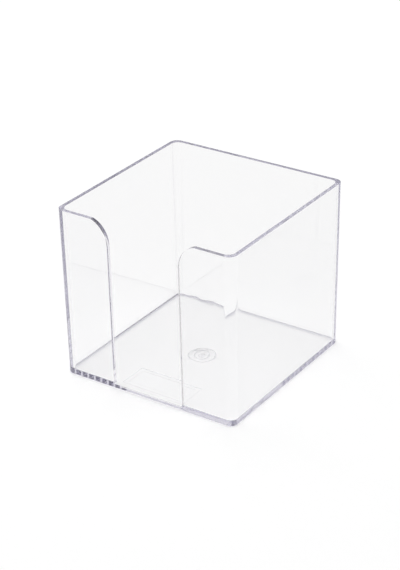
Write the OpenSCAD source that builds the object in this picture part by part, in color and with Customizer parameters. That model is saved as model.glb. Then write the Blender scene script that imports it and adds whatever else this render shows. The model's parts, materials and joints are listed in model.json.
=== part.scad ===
// Note holder: an open square box for loose note slips, moulded in one piece of clear polystyrene.
// Units are millimetres. The origin is the middle of the base, +Z is up, and -Y is the front,
// where the thumb slot opens the wall from the rim down to the floor.
// Every wall leans outwards by the mould's draft, so the box is a little wider at the rim.

/* [Box] */
// Outside width at the rim, left to right
box_w = 96; // [80:1:130]
// Outside depth at the rim, front to back
box_d = 96; // [80:1:130]
// Overall height
box_h = 85.6; // [50:0.2:120]
// Thickness of the walls
wall_t = 2; // [1.4:0.1:3]
// Thickness of the floor
floor_t = 2; // [1.2:0.1:3]
// How far each wall leans outwards for each millimetre of height
draft = 0.01; // [0.005:0.001:0.02]

/* [Corners] */
// Radius of the upright outside corners at the base; the draft opens it towards the rim
outer_r = 3.3; // [1.4:0.1:5]
// Radius of the upright inside corners at the floor
inner_r = 2.3; // [1.4:0.1:4]
// Fillet along the inside edge of the floor
fillet_r = 0.4; // [0.2:0.1:1.2]
// Rounding of the outer bottom edge
foot_r = 0.3; // [0.2:0.1:1]

/* [Thumb slot] */
// Width of the slot between its upright edges
slot_w = 38.8; // [16:0.2:46]
// Radius of the arcs that round off the two front panels
arc_r = 12.5; // [6:0.5:15]
// How far the arcs would rise above the rim if they were carried on; 0 makes them run in flush
arc_over = 0.7; // [0:0.1:2]

/* [Moulding marks] */
// Diameter of the dimple under the floor, where the plastic enters the mould
gate_d = 14.5; // [8:0.5:24]
// Depth of the dimple
gate_depth = 0.3; // [0.25:0.05:0.8]
// Diameter of the sprue stub that is left in the dimple
stub_d = 3; // [1.5:0.5:5]
// Height of the sprue stub
stub_h = 0.2; // [0.1:0.05:0.25]
// Dimple's place, left to right
gate_x = 0; // [-5:0.1:5]
// Dimple's place, front to back
gate_y = -1.2; // [-5:0.1:5]
// Width of the mould insert's mark under the floor
insert_w = 35; // [20:0.5:50]
// Depth of the mark, front to back
insert_d = 15.5; // [8:0.5:20]
// Distance from the mark to the outside of the front wall at the base
insert_gap = 4.4; // [3:0.1:10]
// Border between the mark's outer and inner outline
insert_border = 2.2; // [1:0.1:3]
// Depth of each of the mark's two steps
insert_step = 0.15; // [0.05:0.05:0.2]

/* [Hidden] */
$fn = 128;
// a cut that has to break through a face passes it by this much
past = 1;
lean_angle = atan(draft);
// half the outside width and depth at the base, and half the room inside at the floor
base_hw = box_w / 2 - draft * box_h;
base_hd = box_d / 2 - draft * box_h;
room_hw = base_hw + draft * floor_t - wall_t;
room_hd = base_hd + draft * floor_t - wall_t;
arc_x = slot_w / 2 + arc_r;
arc_z = box_h + arc_over - arc_r;
insert_y = -base_hd + insert_gap + insert_d / 2;
dimple_r = (pow(gate_d / 2, 2) + pow(gate_depth, 2)) / (2 * gate_depth);

// What a rounded bottom edge takes off a wall that leans outwards. The foot of the wall is at x = 0,
// the round is tangent to the ground and to the wall, and nothing above the tangent point is touched.
module edge_waste(r) {
  centre = r * draft - r / cos(lean_angle);
  difference() {
    translate([centre, -past])
      square([past - centre, past + r * (1 - sin(lean_angle))]);
    translate([centre, r])
      circle(r);
  }
}

// One side of a box, as seen from its end: upright in the middle, leaning outwards on both sides
module side_profile(hw, h) {
  polygon([
    [-hw, 0],
    [hw, 0],
    [hw + h * draft, h],
    [-hw - h * draft, h]
  ]);
}

// A square block whose sides lean outwards by the draft. Its corners are cones on upright axes, so
// they stay tangent to the sides all the way up.
module drafted_block(hw, hd, corner, edge, h) {
  cx = hw - corner;
  cy = hd - corner;
  difference() {
    union() {
      rotate([90, 0, 0])
        linear_extrude(2 * cy, center = true)
          side_profile(hw, h);
      rotate([90, 0, 90])
        linear_extrude(2 * cx, center = true)
          side_profile(hd, h);
      for (x = [-cx, cx], y = [-cy, cy])
        translate([x, y, 0])
          cylinder(h = h, r1 = corner, r2 = corner + h * draft);
    }
    for (side = [0, 180])
      rotate(side) {
        translate([hw, 0, 0])
          rotate([90, 0, 0])
            linear_extrude(2 * cy, center = true)
              edge_waste(edge);
        translate([0, hd, 0])
          rotate([90, 0, 90])
            linear_extrude(2 * cx, center = true)
              edge_waste(edge);
      }
    for (quarter = [[cx, cy, 0], [-cx, cy, 90], [-cx, -cy, 180], [cx, -cy, 270]])
      translate([quarter[0], quarter[1], 0])
        rotate(quarter[2])
          rotate_extrude(angle = 90)
            translate([corner, 0])
              edge_waste(edge);
  }
}

// The slot seen from the front: straight down to the floor, with the panels' corners left round
module slot_profile() {
  translate([-slot_w / 2, floor_t])
    square([slot_w, box_h + past - floor_t]);
  for (side = [0, 1])
    mirror([side, 0])
      difference() {
        translate([0, arc_z])
          square([arc_x, box_h + past - arc_z]);
        translate([arc_x, arc_z])
          circle(arc_r);
      }
}

// Cuts the front wall and the fillet at its foot, and leaves the floor whole
module thumb_slot() {
  front = box_d / 2 + past;
  back = room_hd - fillet_r;
  translate([0, -back, 0])
    rotate([90, 0, 0])
      linear_extrude(front - back)
        slot_profile();
}

// Two shallow steps, one inside the other
module insert_mark() {
  for (step = [0, 1])
    translate([0, insert_y, (step + 1) * insert_step - past / 2])
      cube([insert_w - step * 2 * insert_border, insert_d - step * 2 * insert_border, past], center = true);
}

// A shallow ball-shaped dimple, with the stub standing in it
module gate_dimple() {
  translate([gate_x, gate_y, gate_depth - dimple_r])
    sphere(dimple_r);
}

module holder() {
  color([0.93, 0.93, 0.97, 0.35]) {
    difference() {
      drafted_block(base_hw, base_hd, outer_r, foot_r, box_h);
      translate([0, 0, floor_t])
        drafted_block(room_hw, room_hd, inner_r, fillet_r, box_h - floor_t + past);
      thumb_slot();
      insert_mark();
      gate_dimple();
    }
    translate([gate_x, gate_y, gate_depth - stub_h])
      cylinder(h = stub_h + floor_t - gate_depth, d = stub_d);
  }
}

holder();
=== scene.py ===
# Note holder: an open square box for loose slips, moulded in one piece of clear polystyrene.
# It stands on a white sweep, where the plastic shows by its edges more than by its walls.
import json
import math

import bmesh
import bpy
from mathutils import Matrix, Vector

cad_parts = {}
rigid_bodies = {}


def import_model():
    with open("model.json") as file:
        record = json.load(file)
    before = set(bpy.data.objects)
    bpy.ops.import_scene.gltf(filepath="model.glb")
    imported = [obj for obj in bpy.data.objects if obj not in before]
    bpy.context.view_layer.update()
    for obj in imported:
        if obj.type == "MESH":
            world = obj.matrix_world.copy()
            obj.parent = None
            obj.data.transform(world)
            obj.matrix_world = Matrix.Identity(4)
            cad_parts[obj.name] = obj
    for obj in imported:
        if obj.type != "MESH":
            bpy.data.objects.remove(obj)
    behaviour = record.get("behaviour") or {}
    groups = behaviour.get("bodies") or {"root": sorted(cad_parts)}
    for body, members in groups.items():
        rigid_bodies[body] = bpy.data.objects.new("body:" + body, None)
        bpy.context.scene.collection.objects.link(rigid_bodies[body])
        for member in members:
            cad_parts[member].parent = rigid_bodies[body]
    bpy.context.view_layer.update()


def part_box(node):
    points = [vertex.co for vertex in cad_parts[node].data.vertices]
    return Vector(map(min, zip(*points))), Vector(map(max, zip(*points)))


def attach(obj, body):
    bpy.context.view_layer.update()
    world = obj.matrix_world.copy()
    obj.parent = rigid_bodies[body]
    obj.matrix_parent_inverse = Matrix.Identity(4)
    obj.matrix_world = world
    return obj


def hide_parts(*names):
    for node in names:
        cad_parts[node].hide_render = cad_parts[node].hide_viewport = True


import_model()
mm = 0.001


def linear(hexColour):
    # sRGB hex to the linear colour that Blender's sockets take
    parts = [int(hexColour[i:i + 2], 16) / 255 for i in (1, 3, 5)]
    return [c / 12.92 if c <= 0.04045 else ((c + 0.055) / 1.055) ** 2.4 for c in parts] + [1.0]


def addNode(tree, kind, settings=None, links=None):
    # settings go to the node's own fields or, by socket name or number, to its inputs
    made = tree.nodes.new(kind)
    for name, value in (settings or {}).items():
        if isinstance(name, int) or name in made.inputs:
            made.inputs[name].default_value = value
        else:
            setattr(made, name, value)
    for name, source in (links or {}).items():
        tree.links.new(source, made.inputs[name])
    return made


def startEdit(obj):
    bpy.ops.object.select_all(action="DESELECT")
    bpy.context.view_layer.objects.active = obj
    obj.select_set(True)
    bpy.ops.object.mode_set(mode="EDIT")
    bpy.ops.mesh.select_all(action="DESELECT")


def endEdit():
    bpy.ops.object.mode_set(mode="OBJECT")


def selectEdges(obj, test):
    # picks the edges of the mesh in edit mode for which test(edge) is true, and says how many
    bpy.ops.mesh.select_mode(type="EDGE")
    bpy.ops.mesh.select_all(action="DESELECT")
    mesh = bmesh.from_edit_mesh(obj.data)
    found = [e for e in mesh.edges if test(e)]
    for edge in found:
        edge.select_set(True)
    bmesh.update_edit_mesh(obj.data)
    return len(found)


def selectFaces(obj, test):
    bpy.ops.mesh.select_mode(type="FACE")
    bpy.ops.mesh.select_all(action="DESELECT")
    mesh = bmesh.from_edit_mesh(obj.data)
    found = [f for f in mesh.faces if test(f)]
    for face in found:
        face.select_set(True)
    bmesh.update_edit_mesh(obj.data)
    return len(found)


def near(a, b, gap=0.00001):
    return abs(a - b) < gap


def cutWith(obj, cutter, operation="DIFFERENCE"):
    # a boolean with another object, applied, and the other object taken away
    bpy.ops.object.select_all(action="DESELECT")
    bpy.context.view_layer.objects.active = obj
    obj.select_set(True)
    cut = obj.modifiers.new(cutter.name, "BOOLEAN")
    cut.operation = operation
    cut.solver = "EXACT"
    cut.object = cutter
    bpy.ops.object.modifier_apply(modifier=cut.name)
    bpy.data.objects.remove(cutter)


# the camera stands where the photograph was taken from
view = {
    "azimuth": 34.391,  # degrees round the object, from straight in front towards its right
    "elevation": 27.551,
    "roll": -1.116,
    "distance": 0.82210,
    "target": Vector((-0.001795, 0.0, 0.038111)),
    "lens": 109.58,  # mm, on a 36 mm sensor laid along the frame's long side
}
azimuth = math.radians(view["azimuth"])
elevation = math.radians(view["elevation"])
viewBack = Vector((
    math.sin(azimuth) * math.cos(elevation),
    -math.cos(azimuth) * math.cos(elevation),
    math.sin(elevation),
))
viewRight = (-viewBack).cross(Vector((0, 0, 1))).normalized()
viewUp = viewBack.cross(viewRight)
viewFrame = Matrix((viewRight, viewUp, viewBack)).transposed() @ Matrix.Rotation(
    math.radians(view["roll"]), 3, "Z"
)
bpy.ops.object.camera_add()
camera = bpy.context.object
camera.name = "camera"
camera.data.sensor_width = 36
camera.data.lens = view["lens"]
camera.matrix_world = Matrix.Translation(
    view["target"] + viewBack * view["distance"]
) @ viewFrame.to_4x4()
bpy.context.scene.camera = camera
print("camera set")

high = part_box("holder")[1]
holder = {
    "rimHalf": high.x,
    "height": high.z,
    "draft": 0.01,  # how far a wall leans out for each unit of height
    "wall": 2.0 * mm,
    "floor": 2.0 * mm,
    "outerRadius": 3.3 * mm,  # upright corners at the base
    "innerRadius": 2.8 * mm,  # upright inside corners at the floor, rounder than the solid's
    "filletRadius": 0.4 * mm,  # round the inside of the floor
    "footRadius": 0.3 * mm,
    "cornerSteps": 16,
    "filletSteps": 10,
    "footSteps": 8,
    "weld": 0.004 * mm,  # points nearer than this become one
    "slotWidth": 38.8 * mm,
    "slotPast": 0.4 * mm,  # how far behind the fillet the slot's cut begins
    "arcRadius": 12.5 * mm,
    "arcOver": 0.7 * mm,  # the arcs would end this far above the rim
    "arcSteps": 48,
    "softEdge": 0.22 * mm,  # the mould's polished edges are never quite sharp
    "softSteps": 3,
    "softFrom": math.radians(14),  # edges that turn by more than this are softened
    "smoothUpTo": math.radians(12),  # edges that turn by less than this are shaded smooth
}
print("holder is", [round(v / mm, 2) for v in (holder["rimHalf"] * 2, holder["height"])], "mm")


def addBucket(rimHalf, depth, radius, inside):
    # an open bucket that hangs from the rim: its outline is drawn there, and inset downwards by
    # the draft
    lean = depth * holder["draft"]
    bpy.ops.mesh.primitive_plane_add(
        size=2 * rimHalf,
        location=(0, 0, holder["height"]),
    )
    bpy.ops.mesh.bevel(
        offset=radius + lean,  # a cone's radius grows with the draft
        segments=holder["cornerSteps"],
        affect="VERTICES",
        clamp_overlap=False,
    )
    bpy.ops.mesh.select_mode(type="FACE")
    bpy.ops.mesh.inset(thickness=lean, depth=-depth, use_even_offset=True)
    bpy.ops.mesh.select_linked()
    bpy.ops.mesh.normals_make_consistent(inside=inside)
    bpy.ops.mesh.select_all(action="DESELECT")


def buildShell():
    top = holder["height"]
    cavityDepth = top - holder["floor"]
    baseHalf = holder["rimHalf"] - top * holder["draft"]
    roomHalf = baseHalf + holder["floor"] * holder["draft"] - holder["wall"]
    bpy.ops.object.select_all(action="DESELECT")
    bpy.ops.mesh.primitive_plane_add()
    shell = bpy.context.object
    shell.name = shell.data.name = "holder_clear"
    startEdit(shell)
    bpy.ops.mesh.select_all(action="SELECT")
    bpy.ops.mesh.delete(type="VERT")  # an empty mesh to draw in
    addBucket(holder["rimHalf"], top, holder["outerRadius"], False)
    addBucket(roomHalf + cavityDepth * holder["draft"], cavityDepth, holder["innerRadius"], True)
    # the flat rim closes the two buckets into one wall
    selectEdges(shell, lambda e: e.is_boundary)
    bpy.ops.mesh.bridge_edge_loops()
    bpy.ops.mesh.select_all(action="SELECT")
    bpy.ops.mesh.normals_make_consistent(inside=False)

    def flatRing(height):
        return lambda e: all(near(v.co.z, height) for v in e.verts)

    selectEdges(shell, flatRing(0))
    bpy.ops.mesh.bevel(
        offset=holder["footRadius"],
        segments=holder["footSteps"],
        clamp_overlap=False,
    )
    selectEdges(shell, flatRing(holder["floor"]))
    bpy.ops.mesh.bevel(
        offset=holder["filletRadius"],
        segments=holder["filletSteps"],
        clamp_overlap=False,
    )
    bpy.ops.mesh.select_all(action="SELECT")
    bpy.ops.mesh.remove_doubles(threshold=holder["weld"])
    endEdit()
    return shell


def buildSlotCutter():
    # a T seen from the front; rounding its two inner corners leaves the panels' corners round
    ahead = 4 * mm  # how far the cutter stands out in front of the rim
    rise = 10 * mm  # and above the arcs
    spread = 20 * mm  # and to each side, with room for the arcs
    lean = (holder["height"] - holder["floor"]) * holder["draft"]
    roomHalf = holder["rimHalf"] - lean - holder["wall"]
    frontIn = holder["filletRadius"] + holder["slotPast"] - roomHalf
    frontOut = -holder["rimHalf"] - ahead
    slotHalf = holder["slotWidth"] / 2
    arcTop = holder["height"] + holder["arcOver"]
    bpy.ops.object.select_all(action="DESELECT")
    bpy.ops.mesh.primitive_cube_add(
        size=1,
        location=(0, (frontIn + frontOut) / 2, (holder["floor"] + arcTop) / 2),
    )
    cutter = bpy.context.object
    cutter.name = "thumbSlot"
    cutter.scale = (2 * slotHalf, frontIn - frontOut, arcTop - holder["floor"])
    bpy.ops.object.transform_apply(location=True, rotation=True, scale=True)
    startEdit(cutter)
    selectFaces(cutter, lambda f: f.normal.z > 0.9)
    bpy.ops.mesh.extrude_region_move(TRANSFORM_OT_translate={"value": (0, 0, rise)})
    for side in (-1, 1):
        selectFaces(
            cutter,
            lambda f: f.normal.x * side > 0.9 and f.calc_center_median().z > arcTop,
        )
        bpy.ops.mesh.extrude_region_move(
            TRANSFORM_OT_translate={"value": (side * spread, 0, 0)},
        )
    selectEdges(
        cutter,
        lambda e: all(near(abs(v.co.x), slotHalf) and near(v.co.z, arcTop) for v in e.verts)
        and near(e.verts[0].co.x, e.verts[1].co.x),
    )
    bpy.ops.mesh.bevel(
        offset=holder["arcRadius"],
        segments=holder["arcSteps"],
        clamp_overlap=False,
    )
    bpy.ops.mesh.select_all(action="SELECT")
    bpy.ops.mesh.normals_make_consistent(inside=False)
    endEdit()
    return cutter


def softenEdges(obj, turn, width, steps):
    # rounds each edge that turns by more than an angle
    startEdit(obj)
    count = selectEdges(obj, lambda e: len(e.link_faces) == 2 and e.calc_face_angle(0) > turn)
    bpy.ops.mesh.bevel(offset=width, segments=steps, clamp_overlap=True)
    endEdit()
    print("softened", count, "edges")


marks = {
    "gateWidth": 14.5 * mm,  # dimple under the floor, where the plastic ran in
    "gateDepth": 0.3 * mm,
    "gatePlace": (0.0, -1.2 * mm),
    "gateRings": 180,  # the ball's rings, of which only the lowest reach the floor
    "ringRadii": (6.5 * mm, 3.6 * mm),  # grooves that the gate's two steel rings leave
    "ringWidth": 0.7 * mm,
    "ringDepth": 0.15 * mm,
    "ringSides": 48,
    "roundSteps": 96,
    "stubWidth": 3.0 * mm,
    "stubHeight": 0.2 * mm,
    "stubSides": 28,
    "stubRoot": 1.0 * mm,  # the stub's upper end, inside the floor
    "stubBreak": 0.2 * mm,  # how rough the broken end is
    "stubGrain": 0.35 * mm,  # how far apart its rings of points are
    "insertSize": (35 * mm, 15.5 * mm),
    "insertGap": 4.4 * mm,  # from the foot of the front wall, outside
    "insertBorder": 2.2 * mm,
    "insertDepths": (0.2 * mm, 0.28 * mm),  # of the outer and the inner outline
    "weld": 0.001 * mm,
}


def buildMarks(shell):
    x, y = marks["gatePlace"]
    halfWidth, depth = marks["gateWidth"] / 2, marks["gateDepth"]
    ballRadius = (halfWidth ** 2 + depth ** 2) / (2 * depth)
    bpy.ops.object.select_all(action="DESELECT")
    bpy.ops.mesh.primitive_uv_sphere_add(
        segments=marks["roundSteps"],
        ring_count=marks["gateRings"],
        radius=ballRadius,
        location=(x, y, depth - ballRadius),
    )
    ball = bpy.context.object
    ball.name = "gateDimple"
    # only the cap that dips into the floor is kept
    capFoot = -1 * mm
    startEdit(ball)
    bpy.ops.mesh.select_all(action="SELECT")
    bpy.ops.mesh.bisect(
        plane_co=(0, 0, capFoot),
        plane_no=(0, 0, 1),
        clear_inner=True,
        use_fill=True,
    )
    endEdit()
    bpy.ops.object.transform_apply(location=True)
    cutWith(shell, ball)
    half, deep = marks["ringWidth"] / 2, marks["ringDepth"]
    tube = (half ** 2 + deep ** 2) / (2 * deep)
    for ringRadius in marks["ringRadii"]:
        ceiling = depth - ballRadius + math.sqrt(ballRadius ** 2 - ringRadius ** 2)
        bpy.ops.object.select_all(action="DESELECT")
        bpy.ops.mesh.primitive_torus_add(
            major_radius=ringRadius,
            minor_radius=tube,
            major_segments=marks["roundSteps"],
            minor_segments=marks["ringSides"],
            location=(x, y, ceiling + deep - tube),
        )
        ring = bpy.context.object
        ring.name = "gateRing"
        bpy.ops.object.transform_apply(location=True)
        cutWith(shell, ring)
    frontFoot = holder["height"] * holder["draft"] - holder["rimHalf"]
    insertY = frontFoot + marks["insertGap"] + marks["insertSize"][1] / 2
    plateHeight = 1 * mm
    for step, insertDepth in enumerate(marks["insertDepths"]):
        width, length = (side - 2 * step * marks["insertBorder"] for side in marks["insertSize"])
        bpy.ops.object.select_all(action="DESELECT")
        bpy.ops.mesh.primitive_cube_add(
            size=1,
            location=(0, insertY, insertDepth - plateHeight / 2),
        )
        plate = bpy.context.object
        plate.name = "insertMark"
        plate.scale = (width, length, plateHeight)
        bpy.ops.object.transform_apply(location=True, rotation=True, scale=True)
        cutWith(shell, plate)
    stubTop = marks["stubRoot"]
    stubFoot = depth - marks["stubHeight"]
    bpy.ops.object.select_all(action="DESELECT")
    bpy.ops.mesh.primitive_cylinder_add(
        vertices=marks["stubSides"],
        radius=marks["stubWidth"] / 2,
        depth=stubTop - stubFoot,
        location=(x, y, (stubTop + stubFoot) / 2),
    )
    stub = bpy.context.object
    stub.name = "sprueStub"
    bpy.ops.object.transform_apply(location=True)
    # the sprue breaks off unevenly
    startEdit(stub)
    selectFaces(stub, lambda f: f.normal.z < -0.9)
    for ring in range(3):
        bpy.ops.mesh.inset(thickness=marks["stubGrain"])
    bpy.ops.mesh.poke()
    selectFaces(stub, lambda f: near(f.calc_center_median().z, stubFoot))
    bpy.ops.transform.vertex_random(offset=marks["stubBreak"] / 2, uniform=0.3, seed=5)
    bpy.ops.mesh.select_all(action="SELECT")
    bpy.ops.mesh.quads_convert_to_tris()
    endEdit()
    cutWith(shell, stub, "UNION")


shell = buildShell()
cutWith(shell, buildSlotCutter())
softenEdges(shell, holder["softFrom"], holder["softEdge"], holder["softSteps"])
buildMarks(shell)
startEdit(shell)
bpy.ops.mesh.select_all(action="SELECT")
bpy.ops.mesh.remove_doubles(threshold=marks["weld"])
endEdit()
bpy.ops.object.shade_smooth_by_angle(angle=holder["smoothUpTo"])
evenNormals = shell.modifiers.new("evenNormals", "WEIGHTED_NORMAL")
evenNormals.keep_sharp = True
evenNormals.weight = 100
bpy.ops.object.modifier_apply(modifier=evenNormals.name)
print("shell built,", len(shell.data.polygons), "faces")

# Water clear to look through; the little grey violet that the resin absorbs only gathers where
# the light runs along a wall, so edges and rims look dark and the walls hardly show.
polystyrene = {
    "ior": 1.59,
    "pane": "#fefefe",  # a wall seen flat on
    "rim": "#b3b0be",  # the rim's narrow face on the left and back, painted darker as shade
    "slotEdge": "#7c7984",  # the slot's edges, painted darker as shade
    "slotShadeShare": 0.45,  # share of the light that a fully shaded slot edge scatters off its dark colour instead of letting it through
    "corner": "#ffffff",  # the front corners, whiter than the walls as a painted highlight
    "floor": "#fafafa",  # the floor, greyed a little as painted shadow, so the paper under the box looks shaded through it
    "absorbs": "#cdcada",
    "absorbDensity": 10.0,
    "flowWidth": 26.0 * mm,  # broad swell of a moulded wall
    "flowHeight": 0.012 * mm,
    "rippleWidth": 8.0 * mm,  # the right front panel, last to fill, sets less evenly
    "rippleHeight": 0.06 * mm,
    "rippleX": (18 * mm, 26 * mm),  # the ripples fade in over these stretches of x and y
    "rippleY": (-42 * mm, -44 * mm),
    "gateWidth": 2.2 * mm,  # the plastic chills in small folds round the gate
    "gateHeight": 0.16 * mm,
}


def markFaces(obj, name, amount):
    # a mask that the material reads, worked out from each face's middle and normal
    mask = obj.data.attributes.new(name, "FLOAT", "FACE")
    mask.data.foreach_set("value", [amount(f.center, f.normal) for f in obj.data.polygons])
    print(name, "faces:", sum(1 for d in mask.data if d.value > 0))


# where the masks reach: painted shade on the left and back rims and the slot's edges, a painted
# highlight on the front corners, painted shadow on the floor, and the folds round the gate
maskBounds = {
    "rimSplit": 20 * mm,  # the left and back rims lie behind this line, aslant from above
    "rimBack": 44 * mm,
    "slotFront": -44.5 * mm,  # the slot's edges lie in front of this
    "slotLeft": 0.1,  # how much of the right edge's painted shade the left one has
    "cornerFrom": 42 * mm,  # the front corners lie outside this, to the side and to the front
    "cornerTurn": 0.04,  # least share of a corner face's normal along x and along y
    "gateReach": 6.2 * mm,
    "slotMargin": 0.05 * mm,  # the slot's mask ends this far above the floor
    "floorMargin": 0.01 * mm,  # and the floor's mask this far
}


def onShadedRim(place, normal):
    # only the left and back rims get the painted shade
    if place.z < holder["height"] - holder["softEdge"]:
        return 0.0
    return 1.0 if place.x - place.y < -maskBounds["rimSplit"] or place.y > maskBounds["rimBack"] else 0.0


def onShadedSlotEdge(place, normal):
    # the right edge gets the full painted shade, and the left one a little of it
    arcZ = holder["height"] + holder["arcOver"] - holder["arcRadius"]
    arcX = holder["slotWidth"] / 2 + holder["arcRadius"]
    across = abs(place.x)
    foot = holder["floor"] + maskBounds["slotMargin"]
    if place.y > maskBounds["slotFront"] or across > arcX or place.z < foot:
        return 0.0
    if place.z < arcZ:
        away = abs(across - holder["slotWidth"] / 2)
    else:
        away = abs(math.hypot(across - arcX, place.z - arcZ) - holder["arcRadius"])
    if away > holder["softEdge"]:
        return 0.0
    return 1.0 if place.x > 0 else maskBounds["slotLeft"]


# the front corners, which carry the painted highlight
def onHighlightedCorner(place, normal):
    turned = min(abs(normal.x), abs(normal.y)) > maskBounds["cornerTurn"] and abs(normal.z) < 0.1
    return 1.0 if turned and min(abs(place.x), -place.y) > maskBounds["cornerFrom"] else 0.0


# the floor's level faces, which carry the painted shadow
def onShadowedFloor(place, normal):
    level = abs(normal.z) > 0.9
    return 1.0 if level and place.z < holder["floor"] + maskBounds["floorMargin"] else 0.0


def onGate(place, normal):
    gateX, gateY = marks["gatePlace"]
    away = math.hypot(place.x - gateX, place.y - gateY)
    under = place.z < marks["gateDepth"] + marks["ringDepth"]
    return 1.0 if under and away < maskBounds["gateReach"] else 0.0


markFaces(shell, "rim", onShadedRim)
markFaces(shell, "slotEdge", onShadedSlotEdge)
markFaces(shell, "corner", onHighlightedCorner)
markFaces(shell, "floor", onShadowedFloor)
markFaces(shell, "gate", onGate)


def clearPolystyrene():
    made = bpy.data.materials.new("moulded clear polystyrene")
    made.use_nodes = True
    tree = made.node_tree
    tree.nodes.clear()
    place = addNode(tree, "ShaderNodeTexCoord")
    axes = addNode(tree, "ShaderNodeSeparateXYZ", {}, {"Vector": place.outputs["Object"]})
    fades = []
    for axis, (start, full) in (("X", polystyrene["rippleX"]), ("Y", polystyrene["rippleY"])):
        fades.append(addNode(
            tree, "ShaderNodeMapRange", {"From Min": start, "From Max": full},
            {"Value": axes.outputs[axis]},
        ))
    onPanel = addNode(
        tree, "ShaderNodeMath", {"operation": "MULTIPLY"},
        {0: fades[0].outputs[0], 1: fades[1].outputs[0]},
    )
    nearGate = addNode(tree, "ShaderNodeAttribute", {"attribute_name": "gate"})
    # three kinds of unevenness, one on top of the other: name, detail, roughness and mask
    uneven = None
    for name, detail, roughness, mask in (
        ("flow", 1.0, 0.4, None),
        ("ripple", 1.0, 0.4, onPanel.outputs[0]),
        ("gate", 2.0, 0.5, nearGate.outputs["Fac"]),
    ):
        noise = addNode(
            tree, "ShaderNodeTexNoise",
            {"Scale": 1 / polystyrene[name + "Width"], "Detail": detail, "Roughness": roughness},
            {"Vector": place.outputs["Object"]},
        )
        links = {"Height": noise.outputs["Fac"]}
        if mask:
            masked = addNode(
                tree, "ShaderNodeMath", {"operation": "MULTIPLY"},
                {0: noise.outputs["Fac"], 1: mask},
            )
            links = {"Height": masked.outputs[0], "Normal": uneven.outputs["Normal"]}
        uneven = addNode(
            tree, "ShaderNodeBump",
            {"Strength": 1.0, "Distance": polystyrene[name + "Height"]},
            links,
        )
    # each masked part gets a colour of its own: painted shade on the left and back rims and the
    # slot's edges, a painted highlight on the front corners and painted shadow on the floor;
    # inputs 6 and 7 of a colour mix are its two colours
    through = None
    for part in ("rim", "corner", "floor", "slotEdge"):
        where = addNode(tree, "ShaderNodeAttribute", {"attribute_name": part})
        links = {0: where.outputs["Fac"]}
        if through:
            links[6] = through.outputs[2]
        through = addNode(
            tree, "ShaderNodeMix",
            {"data_type": "RGBA", 6: linear(polystyrene["pane"]), 7: linear(polystyrene[part])},
            links,
        )
    # the slot's edges let less light through and show their dark colour instead, as painted shade
    shadedSlot = addNode(tree, "ShaderNodeAttribute", {"attribute_name": "slotEdge"})
    clearness = addNode(
        tree, "ShaderNodeMath",
        {"operation": "MULTIPLY_ADD", 1: -polystyrene["slotShadeShare"], 2: 1.0},
        {0: shadedSlot.outputs["Fac"]},
    )
    clear = addNode(
        tree, "ShaderNodeBsdfPrincipled",
        {"Roughness": 0.0, "IOR": polystyrene["ior"]},
        {
            "Base Color": through.outputs[2],
            "Transmission Weight": clearness.outputs[0],
            "Normal": uneven.outputs["Normal"],
        },
    )
    tint = addNode(
        tree, "ShaderNodeVolumeAbsorption",
        {"Color": linear(polystyrene["absorbs"]), "Density": polystyrene["absorbDensity"]},
    )
    addNode(
        tree, "ShaderNodeOutputMaterial", {},
        {"Surface": clear.outputs[0], "Volume": tint.outputs[0]},
    )
    return made


shell.data.materials.clear()
shell.data.materials.append(clearPolystyrene())
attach(shell, "root")
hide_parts("holder")
print("material set")

# white sweep and soft studio light
studio = {
    "floorGap": 0.15 * mm,  # air under the base, so the plastic keeps its own lower face
    "floorSize": 6.0,
    "floorColour": "#f2f2f2",
    "floorGlow": 0.12,  # brings the lit paper up to white for the camera, and leaves the shadow
    "glowInGlass": 0.06,  # the same for the paper that shows in the plastic
    "worldGlow": 0.9,
    "softboxPlace": Vector((-0.7, 0.3, 1.3)),
    "softboxAim": Vector((0, 0, 0.03)),
    "softboxSize": 1.0,
    "softboxPower": 3.0,
    "bounces": 300,  # light that runs inside a wall turns back many times before it leaves
}
bpy.ops.object.select_all(action="DESELECT")
bpy.ops.mesh.primitive_plane_add(size=studio["floorSize"], location=(0, 0, -studio["floorGap"]))
sweep = bpy.context.object
sweep.name = "white_sweep"
bpy.ops.object.transform_apply(location=True)
paper = bpy.data.materials.new("white paper sweep")
paper.use_nodes = True
tree = paper.node_tree
tree.nodes.clear()
ray = addNode(tree, "ShaderNodeLightPath")
inGlass = addNode(
    tree, "ShaderNodeMath", {"operation": "MAXIMUM"},
    {0: ray.outputs["Is Glossy Ray"], 1: ray.outputs["Is Transmission Ray"]},
)
inGlass = addNode(
    tree, "ShaderNodeMath", {"operation": "MULTIPLY", 1: studio["glowInGlass"]},
    {0: inGlass.outputs[0]},
)
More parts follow.
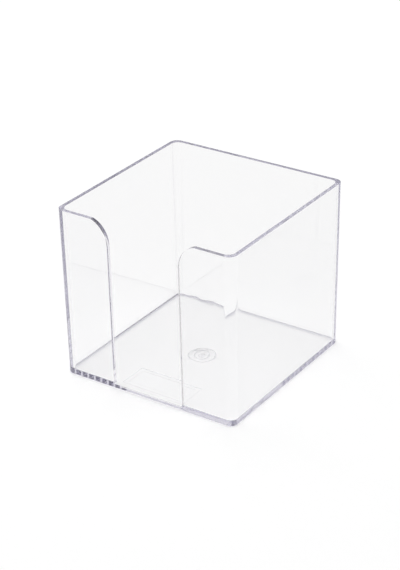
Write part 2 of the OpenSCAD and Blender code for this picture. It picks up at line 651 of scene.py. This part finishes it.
glow = addNode(
    tree, "ShaderNodeMath", {"operation": "MULTIPLY_ADD", 1: studio["floorGlow"]},
    {0: ray.outputs["Is Camera Ray"], 2: inGlass.outputs[0]},
)
matt = addNode(tree, "ShaderNodeBsdfDiffuse", {"Color": linear(studio["floorColour"])})
lift = addNode(tree, "ShaderNodeEmission", {}, {"Strength": glow.outputs[0]})
both = addNode(tree, "ShaderNodeAddShader", {}, {0: matt.outputs[0], 1: lift.outputs[0]})
addNode(tree, "ShaderNodeOutputMaterial", {}, {"Surface": both.outputs[0]})
sweep.data.materials.append(paper)

world = bpy.data.worlds.new("white studio")
bpy.context.scene.world = world
world.use_nodes = True
tree = world.node_tree
tree.nodes.clear()
ray = addNode(tree, "ShaderNodeLightPath")
seen = addNode(
    tree, "ShaderNodeMath", {"operation": "MAXIMUM"},
    {0: ray.outputs["Is Camera Ray"], 1: ray.outputs["Is Glossy Ray"]},
)
seen = addNode(
    tree, "ShaderNodeMath", {"operation": "MAXIMUM"},
    {0: seen.outputs[0], 1: ray.outputs["Is Transmission Ray"]},
)
strength = addNode(
    tree, "ShaderNodeMapRange", {"To Min": studio["worldGlow"], "To Max": 1.0},
    {"Value": seen.outputs[0]},
)
sky = addNode(
    tree, "ShaderNodeBackground", {"Color": linear("#ffffff")}, {"Strength": strength.outputs[0]},
)
addNode(tree, "ShaderNodeOutputWorld", {}, {"Surface": sky.outputs[0]})

bpy.ops.object.light_add(type="AREA", location=studio["softboxPlace"])
lamp = bpy.context.object
lamp.name = "key_softbox"
lamp.data.shape = "SQUARE"
lamp.data.size = studio["softboxSize"]
lamp.data.energy = studio["softboxPower"]
aim = studio["softboxAim"] - studio["softboxPlace"]
lamp.rotation_euler = aim.to_track_quat("-Z", "Y").to_euler()
print("studio set")

scene = bpy.context.scene
scene.view_settings.view_transform = "Standard"
scene.cycles.max_bounces = studio["bounces"]
scene.cycles.glossy_bounces = studio["bounces"]
scene.cycles.transmission_bounces = studio["bounces"]
scene.cycles.blur_glossy = 0.0  # keeps the light under the clear floor as bright as it is
